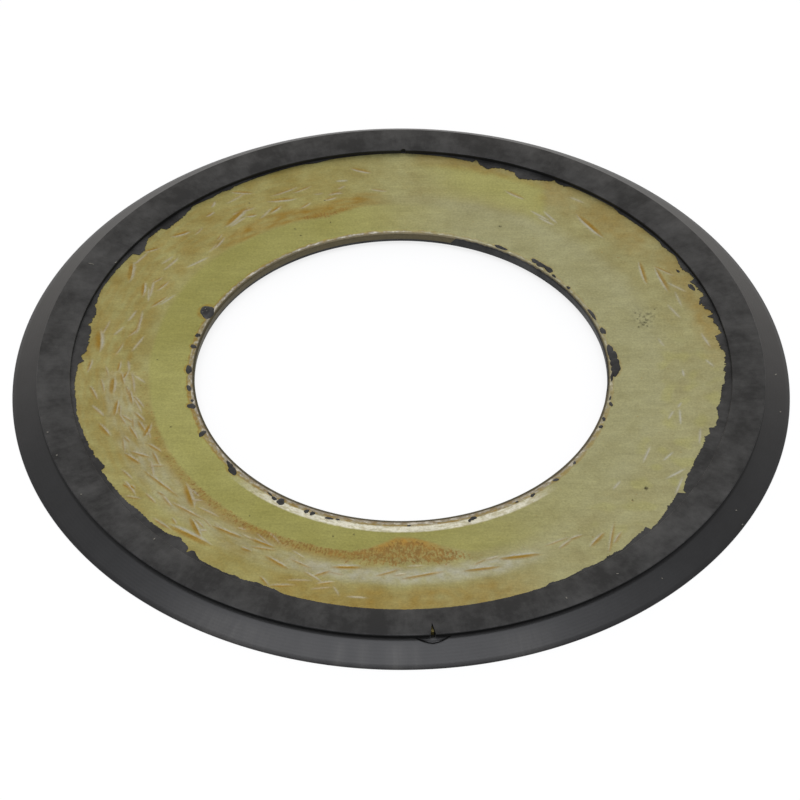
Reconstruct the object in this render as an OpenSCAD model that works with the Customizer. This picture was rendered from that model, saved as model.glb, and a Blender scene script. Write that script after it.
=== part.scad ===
// Sealing ring: a punched steel plate with a rubber ring moulded and bonded round its rim.
// The rubber covers the underside, grips the rim with a raised band and ends in a thin conical lip.
// Z is the bore axis, and the ring lies on the edge of its lip at Z = 0.

/* [Steel plate] */
// Diameter of the bore
bore_d = 60; // [40:0.5:80]
// Diameter of the steel under the rubber
plate_d = 103.6; // [90:0.2:130]
// Thickness of the sheet
plate_t = 1.25; // [0.8:0.05:3]
// Radial width of the die roll round the bore's upper edge
roll_w = 1.7; // [0.4:0.1:3]
// Depth of the die roll
roll_h = 0.4; // [0.1:0.05:0.6]

/* [Rubber ring] */
// Radial width of the raised band that lies on the steel
grip_w = 3.8; // [2:0.1:8]
// Height of the raised band above the steel
band_h = 0.65; // [0.3:0.05:2]
// Rubber between the rim of the steel and the outer edge of the band
rim_wall = 1.05; // [0.9:0.05:3]
// Rubber under the steel
coat_t = 0.5; // [0.3:0.05:2]
// Distance of the rubber's own hole from the bore wall
coat_step = 0.1; // [0.05:0.05:0.5]
// Rounding of the band's two upper edges
band_edge_r = 0.12; // [0.05:0.01:0.25]

/* [Lip] */
// Reach of the lip beyond the band
lip_w = 3.65; // [2:0.05:8]
// Distance of the lip's edge below the underside
lip_drop = 0.7; // [0.2:0.05:2]
// Thickness of the lip at its edge
lip_edge_t = 0.15; // [0.1:0.05:0.5]
// Width of the flat on which the lip's edge lies
lip_land = 0.25; // [0.1:0.05:0.6]
// Depth of the notch between the band and the lip
notch_w = 0.6; // [0.2:0.05:0.8]
// Distance of the notch below the top of the band
notch_h = 0.75; // [0.4:0.05:1.1]
// Rounding at the bottom of the notch
notch_r = 0.1; // [0.05:0.01:0.15]

/* [Flash] */
// Thickness of the film of flash that ran from the band onto the steel
flash_t = 0.06; // [0.03:0.01:0.2]
// Length of the teeth along the torn edge of the film
flash_tooth = 0.4; // [0:0.05:1]

/* [Damage] */
// Place of the tear in the band's outer edge, in degrees from +X
tear_angle = -85.2; // [-180:0.1:180]
// Length of the tear inwards from the band's outer edge
tear_l = 2.25; // [0.5:0.05:4]
// Width of the tear at the band's outer edge
tear_w = 0.75; // [0.2:0.05:2]
// Depth of the tear below the top of the band
tear_h = 1.3; // [0.7:0.05:1.6]
// Length of the flap that the tear leaves on the lip
flap_l = 4.2; // [1:0.1:8]
// Reach of the flap down the lip
flap_w = 0.75; // [0.2:0.05:2]
// Height of the flap above the lip
flap_t = 0.12; // [0.05:0.01:0.3]
// Place of the nick in the band's inner edge, in degrees from +X
nick_angle = 89.6; // [-180:0.1:180]
// Radius of the nick
nick_r = 0.35; // [0.1:0.05:1]

/* [Hidden] */
$fn = 96;

// Flat steps in a quarter of the die roll, and in each rounded edge
roll_steps = 10;
edge_steps = 5;

// Overshoot of a cut past the surface that it opens, and depth of a join below the surface that it lies on
cut_over = 0.15;

// Patches of flash: place in degrees from +X, half length in degrees, reach inwards from the band
flash_patches = [
    [170, 8, 1.3], [146.5, 1.5, 1.3], [135.5, 5, 0.9], [74, 2.5, 1.2], [65.5, 4, 1.5],
    [24, 3, 0.8], [18, 3, 0.6], [6, 7, 0.5], [-7, 5, 0.9], [-22, 10, 1.9], [-35, 4, 0.7], [-43, 2, 0.5],
    [-132.5, 5, 1.3], [-143, 6, 0.9], [-155, 1.5, 1], [-166, 6, 0.4]
];

// Points round the edge of the flash, and the two counts of teeth that mix along it
flash_steps = 300;
teeth = [67, 109];

// Radii from the bore axis
bore_r = bore_d / 2;
plate_r = plate_d / 2;
band_in_r = plate_r - grip_w;
band_out_r = plate_r + rim_wall;
lip_r = band_out_r + lip_w;
coat_r = bore_r + coat_step;
notch_root_r = band_out_r - notch_w;

// Heights above the edge of the lip
under_z = lip_drop;
plate_z = under_z + coat_t;
face_z = plate_z + plate_t;
top_z = face_z + band_h;
notch_z = top_z - notch_h;

// Foot of the notch, where the upper face of the lip starts, and the slope of that face
foot_angle = 250;
foot_r = notch_root_r + notch_r + notch_r * cos(foot_angle);
foot_z = notch_z + notch_r * sin(foot_angle);
lip_slope = atan((foot_z - lip_edge_t) / (lip_r - foot_r));

// Points of an elliptical arc, from one angle to another, both ends included
function arc(center, width, height, start, end, steps) = [
    for (i = [0 : steps])
        let (a = start + (end - start) * i / steps)
        [center[0] + width * cos(a), center[1] + height * sin(a)]
];

// Half section of the plate: straight bore wall below, die roll above
function plate_section() = concat(
    [[bore_r, plate_z]],
    arc([bore_r + roll_w, face_z - roll_h], roll_w, roll_h, 180, 90, roll_steps),
    [[plate_r, face_z], [plate_r, plate_z]]
);

// Half section of the rubber, from its hole up the steel's seat, over the band and out to the lip
function ring_section() = concat(
    [[coat_r, under_z], [coat_r, plate_z], [plate_r, plate_z], [plate_r, face_z], [band_in_r, face_z]],
    arc([band_in_r + band_edge_r, top_z - band_edge_r], band_edge_r, band_edge_r, 180, 90, edge_steps),
    arc([band_out_r - band_edge_r, top_z - band_edge_r], band_edge_r, band_edge_r, 90, 0, edge_steps),
    arc([notch_root_r + notch_r, notch_z], notch_r, notch_r, 120, foot_angle, edge_steps),
    [[lip_r, lip_edge_t], [lip_r, 0], [lip_r - lip_land, 0], [band_out_r, under_z]]
);

// Steel plate, punched from zinc-plated and yellow-passivated sheet
module steel_plate() {
    color([0.60, 0.58, 0.37])
        rotate_extrude()
            polygon(plate_section());
}

// Wedge that the tear leaves open, widest at the band's outer edge
module tear() {
    reach = band_out_r + cut_over;
    spread = tear_w / 2 * (tear_l + cut_over) / tear_l;
    rotate(tear_angle)
        translate([0, 0, top_z - tear_h])
            linear_extrude(tear_h + cut_over)
                polygon([[band_out_r - tear_l, 0], [reach, -spread], [reach, spread]]);
}

// Half-round nick through the band's inner edge, down to the steel
module nick() {
    rotate(nick_angle)
        translate([band_in_r, 0, face_z])
            cylinder(h = band_h + cut_over, r = nick_r);
}

// Leaf of rubber that stands up from the lip below the tear
module flap() {
    rotate(tear_angle)
        translate([foot_r, 0, foot_z])
            rotate([0, lip_slope, 0])
                translate([notch_w, 0, -cut_over])
                    linear_extrude(flap_t + cut_over)
                        polygon([[0, -flap_l / 2], [flap_w, 0], [0, flap_l / 2]]);
}

// Reach of the flash at one angle: the widest patch there, with teeth where there is any
function patch_reach(a, patch) =
    let (t = (abs((a - patch[0] + 900) % 360 - 180)) / patch[1])
    t < 1 ? patch[2] * sqrt(1 - t * t) : 0;
function tooth_reach(a) = flash_tooth * (sin(a * teeth[0]) + sin(a * teeth[1])) / 2;
function flash_reach(a) =
    let (reach = max([for (patch = flash_patches) patch_reach(a, patch)]))
    reach > 0 ? reach + tooth_reach(a) : -cut_over;

// Film of flash on the steel, with a torn inner edge
module flash() {
    translate([0, 0, face_z])
        difference() {
            cylinder(h = flash_t, r = band_in_r + 2 * cut_over);
            translate([0, 0, -cut_over])
                linear_extrude(flash_t + 2 * cut_over)
                    polygon([
                        for (i = [0 : flash_steps - 1])
                            let (a = 360 * i / flash_steps, r = band_in_r - flash_reach(a))
                            [r * cos(a), r * sin(a)]
                    ]);
        }
}

// Rubber ring, moulded in one piece
module rubber_ring() {
    color([0.24, 0.24, 0.25])
        union() {
            difference() {
                rotate_extrude()
                    polygon(ring_section());
                tear();
                nick();
            }
            flash();
            flap();
        }
}

steel_plate();
rubber_ring();
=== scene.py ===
"""Finished look of the sealing ring: its stained, gouged steel plate and the rubber moulded round it."""
import math
import random

import bpy
import numpy as np
from mathutils import Matrix, Vector, noise


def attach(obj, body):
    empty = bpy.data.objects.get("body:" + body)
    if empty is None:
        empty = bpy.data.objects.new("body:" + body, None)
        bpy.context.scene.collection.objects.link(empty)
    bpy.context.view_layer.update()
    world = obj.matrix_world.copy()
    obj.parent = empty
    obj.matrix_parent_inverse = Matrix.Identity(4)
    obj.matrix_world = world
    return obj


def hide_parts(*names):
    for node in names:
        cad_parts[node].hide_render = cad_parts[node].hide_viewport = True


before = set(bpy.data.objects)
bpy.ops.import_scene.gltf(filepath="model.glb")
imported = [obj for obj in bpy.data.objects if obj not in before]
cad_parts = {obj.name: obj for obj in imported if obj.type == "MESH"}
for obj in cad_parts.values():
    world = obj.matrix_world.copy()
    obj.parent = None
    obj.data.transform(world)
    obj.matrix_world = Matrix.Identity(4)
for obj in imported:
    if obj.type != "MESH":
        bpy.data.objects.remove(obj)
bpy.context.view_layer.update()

# Sizes are in millimetres, as in the part's source
MM = 0.001
SEED = 7

# Steel plate
BORE_R = 30.0
PLATE_R = 51.8
PLATE_Z = 1.2
FACE_Z = 2.45
ROLL_W = 1.7
ROLL_H = 0.4
ROLL_START = BORE_R + ROLL_W

# Radii on the face out to which its rings lie close: round the bore's edge, and under the green film
EDGE_RINGS_R = 33.0
FILM_RINGS_R = 36.0

# Rubber ring
COAT_R = 30.1
UNDER_Z = 0.7
BAND_IN_R = 48.0
BAND_OUT_R = 52.85
TOP_Z = 3.1
BAND_EDGE_R = 0.12
NOTCH_ROOT_R = 52.25
NOTCH_Z = 2.35
NOTCH_R = 0.1
FOOT_ANGLE = 250
LIP_R = 56.5
LIP_EDGE_T = 0.15
LIP_LAND = 0.25
LIP_TOP_ROUND = 0.04
LIP_LOW_ROUND = 0.03
FILM_T = 0.06

# Steps round the bore axis, and the distance at which points that meet there are merged
PLATE_STEPS = 860
RING_STEPS = 720
FLASH_STEPS = 2880
MERGE = 0.002

# Damage
TEAR_ANGLE = -85.2
TEAR_L = 2.25
TEAR_W = 0.75
TEAR_H = 1.3
NICK_ANGLE = 89.6
NICK_R = 0.35
NICK_H = 1.0

# Flap below the tear: distance of its root from the notch's foot, reach, half length, bow of its edge
FLAP_START = 0.36
FLAP_W = 0.76
FLAP_HALF_L = 2.4
FLAP_BOW = 1.6

# Height of the flap's root above the lip, how far its edge curls up, and its thickness
FLAP_LIFT = 0.1
FLAP_CURL = 0.16
FLAP_T = 0.08

# Depth of a gouge for each millimetre of its width
GOUGE_DEPTH = 0.07

# Width and depth of a pit for each millimetre of its half width, and its slant to the X axis
PIT_WIDTH = 1.6
PIT_DEPTH = 0.5
PIT_SLANT = 0.4

# Room between the middle lines of two strokes cut together, for each millimetre of their widths
STROKE_ROOM = 0.6

# Overshoot of a cut past the surface that it opens, and of a film into the rubber that it grows from
OVERSHOOT = 0.3

# Camera of the photograph: distance and aim in metres, height angle in degrees, lens in millimetres
CAMERA_DISTANCE = 0.678
CAMERA_ELEVATION = 44.0
CAMERA_LENS = 209.54
CAMERA_AIM = (-0.00016, -0.00345, 0.0)

# Gouges in the plate's face: angle and radius of both ends, width, and how strongly they are stained
GOUGES = (
    (174.5, 44.4, 168.9, 45.2, 0.75, 1.0), (169.7, 42.8, 167.0, 41.8, 0.35, 0.1),
    (180.0, 41.2, 177.0, 41.0, 0.35, 0.8), (180.0, 39.5, 176.8, 39.8, 0.4, 0.1),
    (173.7, 39.5, 169.0, 38.4, 0.4, 0.1), (168.5, 39.7, 161.7, 40.2, 0.45, 0.5),
    (159.7, 39.4, 155.2, 38.1, 0.35, 0.8), (158.3, 38.3, 154.1, 37.2, 0.35, 0.1),
    (157.3, 41.5, 153.5, 42.6, 0.45, 0.9), (158.1, 40.2, 154.5, 41.4, 0.35, 0.1),
    (154.3, 44.8, 149.7, 46.4, 0.6, 1.0), (148.3, 41.5, 143.7, 41.3, 0.45, 0.4),
    (146.0, 46.2, 143.5, 44.9, 0.35, 0.9), (139.6, 45.1, 136.2, 43.9, 0.5, 0.9),
    (145.0, 38.9, 139.5, 37.8, 0.4, 0.1), (129.9, 41.1, 123.2, 42.7, 0.7, 1.0),
    (123.2, 46.9, 120.0, 45.0, 0.4, 0.8), (118.3, 42.2, 113.0, 41.0, 0.5, 0.8),
    (112.7, 42.3, 108.7, 42.8, 0.3, 0.7), (120.0, 39.7, 116.8, 40.4, 0.4, 0.9),
    (113.3, 38.6, 110.5, 39.3, 0.35, 0.7), (96.5, 40.1, 93.2, 39.5, 0.35, 0.5),
    (68.0, 42.5, 63.7, 42.0, 0.5, 0.5), (51.9, 43.2, 44.1, 42.0, 0.6, 1.0),
    (60.7, 40.0, 55.9, 39.6, 0.4, 0.1), (33.5, 42.6, 27.5, 41.0, 0.4, 0.9),
    (30.3, 43.9, 23.5, 43.2, 0.5, 0.8), (31.0, 43.9, 27.0, 45.5, 0.3, 0.8),
    (19.7, 41.8, 15.5, 42.6, 0.35, 0.1), (3.2, 44.4, 1.3, 45.5, 0.35, 0.0),
    (-11.2, 40.9, -15.2, 41.6, 0.4, 0.0), (-15.5, 44.6, -19.2, 45.2, 0.4, 0.1),
    (-23.2, 42.2, -26.1, 41.6, 0.4, 0.0), (-26.5, 45.0, -30.1, 43.6, 0.45, 0.0),
    (-28.5, 45.5, -32.8, 46.2, 0.45, 0.1), (-46.0, 43.1, -51.3, 46.6, 0.3, 0.7),
    (-49.0, 43.4, -53.0, 44.2, 0.45, 0.8), (-62.3, 41.6, -69.9, 40.2, 0.55, 1.0),
    (-70.8, 41.6, -77.7, 41.0, 0.45, 0.9), (-81.7, 40.6, -89.7, 41.6, 0.45, 0.8),
    (-90.3, 39.8, -94.8, 41.2, 0.4, 0.7), (-97.9, 39.8, -103.7, 40.5, 0.5, 1.0),
    (-109.0, 45.4, -113.2, 46.8, 0.4, 0.9), (-113.2, 46.8, -115.5, 45.6, 0.35, 0.9),
    (-111.7, 42.7, -117.0, 41.8, 0.5, 0.9), (-115.7, 40.1, -120.7, 41.2, 0.35, 0.7),
    (-116.3, 39.8, -122.3, 39.9, 0.45, 0.9), (-123.3, 40.4, -130.3, 41.1, 0.45, 0.9),
    (-127.3, 44.2, -136.1, 45.2, 0.75, 1.0), (-130.1, 43.8, -134.8, 42.1, 0.55, 1.0),
    (-136.7, 40.4, -143.2, 38.4, 0.7, 1.0), (-141.0, 40.6, -150.7, 41.9, 0.4, 0.8),
    (-144.7, 45.1, -146.8, 46.6, 0.3, 0.7), (-150.0, 38.8, -151.7, 41.0, 0.35, 0.6),
    (-152.7, 41.7, -156.8, 43.0, 0.45, 0.9), (-153.9, 38.1, -157.5, 39.2, 0.4, 0.8),
    (-159.9, 39.3, -163.3, 37.6, 0.45, 1.0), (-164.1, 38.3, -167.7, 39.4, 0.4, 0.7),
    (-162.1, 43.9, -165.9, 44.8, 0.5, 0.9), (-164.3, 41.1, -168.1, 41.7, 0.4, 0.6),
    (-167.5, 42.3, -171.9, 41.4, 0.45, 0.9), (-173.5, 42.2, -178.3, 41.8, 0.6, 1.0),
    (-172.0, 39.6, -175.7, 40.0, 0.35, 0.6), (-176.3, 37.2, -178.7, 38.8, 0.35, 0.2),
    (-101.0, 41.6, -104.0, 41.5, 0.3, 0.4), (-102.5, 44.3, -106.0, 45.4, 0.35, 0.5),
    (-106.3, 43.8, -110.7, 44.8, 0.35, 0.6), (-109.5, 40.0, -113.0, 39.2, 0.35, 0.3),
    (-118.0, 39.6, -121.8, 38.6, 0.4, 0.5), (-130.7, 39.2, -136.0, 39.8, 0.4, 0.5),
    (-129.7, 41.4, -133.5, 40.7, 0.3, 0.4), (-132.9, 41.0, -140.7, 42.1, 0.4, 0.7),
    (-135.3, 45.6, -139.5, 46.0, 0.35, 0.8), (-156.9, 42.9, -161.5, 42.1, 0.35, 0.5),
    (-159.5, 40.3, -164.0, 40.7, 0.4, 0.8), (-149.7, 44.1, -153.0, 44.6, 0.35, 0.6),
    (-148.2, 45.3, -149.6, 45.7, 0.3, 1.0), (-147.6, 44.7, -148.7, 44.9, 0.3, 1.0),
    (-172.3, 44.3, -176.0, 45.2, 0.4, 0.7), (-174.0, 43.2, -178.0, 43.6, 0.35, 0.6),
    (-173.5, 38.9, -179.5, 39.2, 0.4, 0.5), (-176.0, 40.3, -179.7, 40.8, 0.4, 0.8),
    (-168.5, 37.9, -172.4, 39.0, 0.4, 0.5), (180.0, 45.6, 176.8, 45.2, 0.4, 0.7),
    (165.0, 41.5, 161.7, 41.1, 0.4, 0.2), (147.0, 42.5, 144.0, 42.1, 0.35, 0.3),
    (129.3, 40.5, 124.8, 40.9, 0.4, 0.1), (117.0, 43.0, 111.5, 43.3, 0.35, 0.6),
    (105.3, 40.4, 102.8, 40.0, 0.35, 0.6), (103.3, 42.8, 101.0, 42.6, 0.4, 0.1),
    (-55.0, 41.0, -60.3, 40.6, 0.3, 0.5), (-46.5, 44.9, -49.3, 45.8, 0.35, 0.6),
)

# Fine scratches between the gouges: both angles of a sector, how many, and how strongly they are stained
SCRATCH_SECTORS = ((95, 180, 24, 0.7), (-180, -100, 34, 0.75), (-100, -45, 7, 0.6), (-40, 60, 12, 0.1))

# Range of radius, length and width of those scratches
SCRATCH_R = (38.2, 46.0)
SCRATCH_L = (1.2, 3.6)
SCRATCH_W = (0.28, 0.48)

# Small dark pits in the plate's face: angle, radius and half width
PITS = (
    (-34.5, 42.1, 0.3), (-38.7, 41.9, 0.13), (64.7, 34.8, 0.2), (19.5, 39.6, 0.12), (18.6, 38.4, 0.14),
    (16.9, 37.6, 0.2), (16.2, 37.3, 0.25), (15.6, 36.9, 0.2), (14.9, 37.4, 0.14), (17.8, 36.5, 0.12),
    (19.8, 36.6, 0.12), (15.1, 36.1, 0.13), (18.9, 37.1, 0.1), (-105.9, 34.7, 0.13),
    (-101.4, 33.6, 0.13), (-126.0, 36.3, 0.11), (-160.8, 35.0, 0.12), (176.0, 35.6, 0.1),
    (107.2, 39.0, 0.12), (122.0, 43.2, 0.12), (117.1, 33.0, 0.12), (108.2, 34.0, 0.1),
    (117.3, 34.7, 0.1),
)

# Dark smudge round the cluster of pits: angle, radius and half width
SMUDGE = (17.6, 37.5, 1.7)

# Reach of the flash from the band onto the steel: angle and millimetres, with straight runs between
FLASH_EDGE = (
    (-180, 0.9), (-176.5, 0.6), (-172.5, 0.7), (-169, 0.5), (-164, 0.75), (-160.5, 0.85), (-158, 1.05),
    (-155.2, 1.6), (-154.8, 1.4), (-154.6, 0.8), (-151, 0.9), (-146, 1.0), (-142.8, 1.4), (-138.4, 1.4),
    (-135, 1.6), (-132.5, 2.3), (-129.8, 1.6), (-129.4, 0.7), (-129, 1.5), (-128.4, 1.6), (-126.5, 0.8),
    (-120.5, 0.75), (-119.4, 1.0), (-117.5, 0.8), (-115.5, 1.2), (-112, 1.0), (-110, 0.6), (-65, 0.5),
    (-64, 0.9), (-61.5, 0.6), (-57.5, 0.9), (-53.5, 0.65), (-52.2, 0.9), (-49, 0.65), (-46, 1.1),
    (-43.2, 1.2), (-42.6, 1.5), (-42.4, 0.5), (-38.8, 0.85), (-36.3, 1.3), (-33, 1.6), (-32.2, 1.5),
    (-31.7, 0.65), (-31.2, 1.3), (-28.5, 2.0), (-25, 2.2), (-23, 2.4), (-20, 2.15), (-17.5, 2.4),
    (-16.2, 1.95), (-14.8, 2.25), (-14.5, 1.6), (-12, 1.35), (-9.7, 1.85), (-7.5, 1.5), (-4.4, 1.5),
    (-2.7, 1.1), (0, 1.0), (3.3, 0.8), (3.9, 0.45), (5.6, 0.95), (8, 1.3), (9.2, 1.4), (9.8, 0.35),
    (12.3, 0.8), (13.8, 0.8), (14.4, 1.6), (14.8, 0.6), (16, 0.7), (16.8, 1.45), (19.4, 1.3),
    (19.8, 0.5), (24.1, 0.85), (24.6, 0.2), (26.3, 0.45), (28.1, 0.9), (31.3, 0.2), (34.4, 0.6),
    (36, 0.35), (46.4, 0.5), (48, 0.15), (57.5, 0.2), (58.7, 0.6), (60.5, 0.55), (60.9, 0.1),
    (61.4, 0.6), (64.4, 1.55), (66.9, 2.2), (68, 1.7), (68.5, 1.1), (71, 0.9), (72, 1.0), (73.6, 1.7),
    (75.3, 1.0), (76.2, 0.1), (76.6, 0.7), (80.6, 0.4), (90, 0.0), (103, 0.2), (106, 0.5), (108, 0.2),
    (122, 0.4), (123.5, 0.7), (124.7, 0.35), (126.5, 0.6), (131.3, 0.3), (132.5, 0.8), (135, 1.2),
    (138.4, 1.4), (139, 1.2), (139.4, 0.6), (143, 0.55), (145.8, 1.75), (147.4, 1.6), (147.7, 0.7),
    (153, 0.5), (158.7, 0.4), (162.5, 0.8), (164.7, 1.5), (166.6, 1.4), (168, 1.0), (168.3, 1.6),
    (171, 1.9), (174.8, 1.9), (176.2, 1.2), (177.4, 1.85), (178.1, 1.0), (180, 0.9),
)

# Spots of rubber that bled up over the bore's edge: angle, radius, half length, half width, turn in degrees
BLEEDS = (
    (179.2, 30.85, 0.8, 0.5, 0), (170.1, 30.8, 0.42, 0.42, 0), (165.5, 30.75, 0.42, 0.35, 20),
    (156.1, 31.2, 1.25, 1.1, 0), (61.0, 30.65, 1.0, 0.3, 0), (50.0, 31.0, 0.6, 0.4, 0),
    (47.8, 30.95, 0.9, 0.42, 0), (45.0, 31.0, 0.8, 0.45, 0), (42.2, 30.6, 0.4, 0.2, 0),
    (36.0, 30.6, 0.4, 0.2, 0), (23.5, 30.65, 1.3, 0.25, 0), (16.3, 30.8, 0.75, 0.38, 0),
    (8.5, 30.8, 1.2, 0.45, 0), (6.0, 31.05, 1.2, 0.6, 0), (3.6, 31.15, 1.0, 0.65, 0),
    (1.6, 31.25, 1.2, 0.65, 0), (-0.3, 31.1, 0.8, 0.55, 0), (-2.0, 30.6, 0.9, 0.2, 0),
    (-10.3, 30.7, 0.4, 0.15, 0), (-12.6, 31.0, 0.5, 0.25, -20), (-18.6, 30.75, 0.45, 0.25, -20),
    (-21.7, 30.85, 0.3, 0.35, 0), (-37.2, 31.0, 0.32, 0.22, -25), (-45.3, 31.2, 0.5, 0.25, 20),
    (-53.6, 31.35, 0.45, 0.25, -10), (-58.4, 31.2, 0.25, 0.15, 0), (-71.2, 31.5, 0.5, 0.35, -10),
    (-72.3, 31.75, 0.32, 0.22, -50), (-88.0, 31.3, 0.25, 0.12, 0), (-106.5, 31.35, 0.3, 0.15, 0),
    (-108.8, 31.5, 0.6, 0.22, -10), (-113.4, 31.45, 0.35, 0.42, 0), (-115.1, 31.4, 0.33, 0.42, 0),
    (-122.6, 31.5, 0.55, 0.7, 0), (-124.7, 31.5, 0.45, 0.3, 20), (-126.5, 31.15, 0.5, 0.15, 15),
    (-139.6, 31.45, 1.0, 0.5, 12), (-141.4, 31.1, 0.7, 0.4, 15), (-142.8, 30.9, 0.4, 0.22, 0),
    (-155.7, 31.25, 0.78, 0.38, 50), (-166.6, 31.05, 0.55, 0.6, 0), (-168.7, 30.75, 0.25, 0.25, 0),
    (-173.6, 30.9, 0.6, 0.35, 0),
)

# Height of the smallest spot, and what each millimetre of half width adds to it
SPOT_H = 0.09
SPOT_SWELL = 0.05

# Film of rubber on the bore wall: angles of its two ends, radius of its upper edge, thickness
WALL_FILM = (-14.0, 75.7)
WALL_FILM_R = 30.12
WALL_FILM_T = 0.1

# Ragged edge of that film, and teeth of the flash, as soft noise: strength, waves in a degree, row
WALL_RAGS = ((0.12, 0.8, 3.0), (0.06, 3.1, 7.0))
FLASH_TEETH = ((0.22, 0.9, 0.0), (0.16, 2.7, 5.0), (0.16, 6.0, 9.0), (0.1, 11.0, 3.0))

# Islands of flash beside the torn film: angle, radius, half length, half width, turn in degrees
FLASH_ISLANDS = (
    (22.7, 46.6, 0.9, 0.32, -8), (27.6, 46.4, 0.35, 0.2, 0), (18.4, 46.5, 0.5, 0.2, 25),
)

# Lint on the rubber: angle, radius, half length, half width, turn from the radius in degrees
LINT = (
    (154.1, 51.2, 0.5, 0.07, 8), (151.9, 48.1, 0.22, 0.07, 60), (126.3, 53.0, 0.18, 0.08, 20),
    (50.0, 53.4, 0.2, 0.08, 15), (0.7, 54.5, 0.28, 0.1, 40), (-7.0, 55.2, 0.16, 0.1, 0),
    (-31.0, 56.2, 0.16, 0.1, 70), (-29.7, 54.5, 0.16, 0.1, 30), (-48.0, 54.3, 0.16, 0.08, 10),
    (-63.5, 51.2, 0.2, 0.1, 0), (-53.9, 51.0, 0.18, 0.08, 60), (-135.0, 48.8, 0.2, 0.1, 10),
    (-159.9, 52.2, 0.18, 0.1, 50), (-165.3, 52.3, 0.16, 0.12, 0), (-150.3, 52.0, 0.14, 0.1, 0),
    (156.9, 31.75, 0.1, 0.08, 0), (155.4, 31.7, 0.1, 0.07, 30), (156.0, 31.3, 0.08, 0.06, 0),
)

# Half thickness of the lint, its lift off the rubber, and the height of the bore's spots that carry some
LINT_T = 0.06
LINT_LIFT = 0.02
SPOT_TOP = 0.12

# Streaks across the lip, partly dust and partly painted sheen: angle, half width in degrees and strength
DUST_AND_SHEEN_STREAKS = (
    (-90.6, 1.4, 0.16), (-88.0, 0.8, 0.1), (-95.5, 1.0, 0.1), (-98.9, 0.8, 0.12), (-103.5, 2.0, 0.06),
    (-72.0, 4.0, 0.12), (-116.0, 8.0, 0.16), (88.0, 40.0, 0.25),
)

# Radii between which the dust and painted sheen on the lip set in
DUST_AND_SHEEN_R = (53.0, 54.0)

# Grey bloom on the band: angle, half width in degrees and strength
BLOOM = (
    (-171, 7, 0.75), (-90, 4, 0.4), (-62, 8, 0.35), (-40, 14, 0.6), (11, 8, 0.35), (22, 8, 0.6),
    (36, 10, 0.5), (53, 8, 0.4), (155, 9, 0.6), (170, 8, 0.45), (-180, 5, 0.4),
)

# Bloom between those patches of the band, and on the lip
BLOOM_BAND = 0.15
BLOOM_LIP = 0.3


def arc(center, width, height, start, end, steps):
    """Points of an elliptical arc of a section, both ends included."""
    angles = [math.radians(start + (end - start) * i / steps) for i in range(steps + 1)]
    return [(center[0] + width * math.cos(a), center[1] + height * math.sin(a)) for a in angles]


def line(start, end, steps):
    """Points of a straight run of a section, without its first one."""
    return [
        (start[0] + (end[0] - start[0]) * i / steps, start[1] + (end[1] - start[1]) * i / steps)
        for i in range(1, steps + 1)
    ]


def place(angle, radius, height):
    """A point in metres from its angle in degrees, its radius and its height in millimetres."""
    turn = math.radians(angle)
    return Vector((radius * math.cos(turn), radius * math.sin(turn), height)) * MM


def smooth(low, high, value):
    """Soft step from 0 at low to 1 at high."""
    t = np.clip((value - low) / (high - low), 0, 1)
    return t * t * (3 - 2 * t)


def spun(name, section, steps):
    """A closed section of radius and height, spun once round the bore axis."""
    bpy.ops.object.select_all(action="DESELECT")
    bpy.ops.mesh.primitive_circle_add(vertices=len(section), radius=1, fill_type="NOTHING")
    piece = bpy.context.object
    piece.name = name
    piece.data.name = name
    for vertex, (radius, height) in zip(piece.data.vertices, section):
        vertex.co = (radius * MM, 0, height * MM)
    bpy.ops.object.mode_set(mode="EDIT")
    bpy.ops.mesh.select_all(action="SELECT")
    bpy.ops.mesh.spin(steps=steps, angle=2 * math.pi, center=(0, 0, 0), axis=(0, 0, 1))
    bpy.ops.mesh.select_all(action="SELECT")
    bpy.ops.mesh.remove_doubles(threshold=MERGE * MM)
    bpy.ops.mesh.normals_make_consistent(inside=False)
    bpy.ops.object.mode_set(mode="OBJECT")
    return piece


def joined(pieces):
    """Several objects joined to one, which keeps the first one's name."""
    bpy.ops.object.select_all(action="DESELECT")
    for piece in pieces:
        piece.select_set(True)
    bpy.context.view_layer.objects.active = pieces[0]
    if len(pieces) > 1:
        bpy.ops.object.join()
    return bpy.context.object


def cut(piece, cutter):
    """Cut a closed cutter out of a piece, and take the cutter away."""
    bpy.ops.object.select_all(action="DESELECT")
    bpy.context.view_layer.objects.active = piece
    piece.select_set(True)
    step = piece.modifiers.new("cut", "BOOLEAN")
    step.operation = "DIFFERENCE"
    step.solver = "MANIFOLD"
    step.object = cutter
    bpy.ops.object.modifier_apply(modifier=step.name)
    bpy.data.objects.remove(cutter)


def plate_section():
    """Section of the plate: bore wall, die roll, face with rings that carry its paint, rim, underside."""
    wall = [(BORE_R, PLATE_Z)] + line((BORE_R, PLATE_Z), (BORE_R, FACE_Z - ROLL_H), 4)[:-1]
    roll = arc((ROLL_START, FACE_Z - ROLL_H), ROLL_W, ROLL_H, 180, 90, 18)
    edge = line((ROLL_START, FACE_Z), (EDGE_RINGS_R, FACE_Z), 9)
    inner = line((EDGE_RINGS_R, FACE_Z), (FILM_RINGS_R, FACE_Z), 9)
    outer = line((FILM_RINGS_R, FACE_Z), (BAND_IN_R, FACE_Z), 52)
    return wall + roll + edge + inner + outer + [(PLATE_R, FACE_Z), (PLATE_R, PLATE_Z)]


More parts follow.
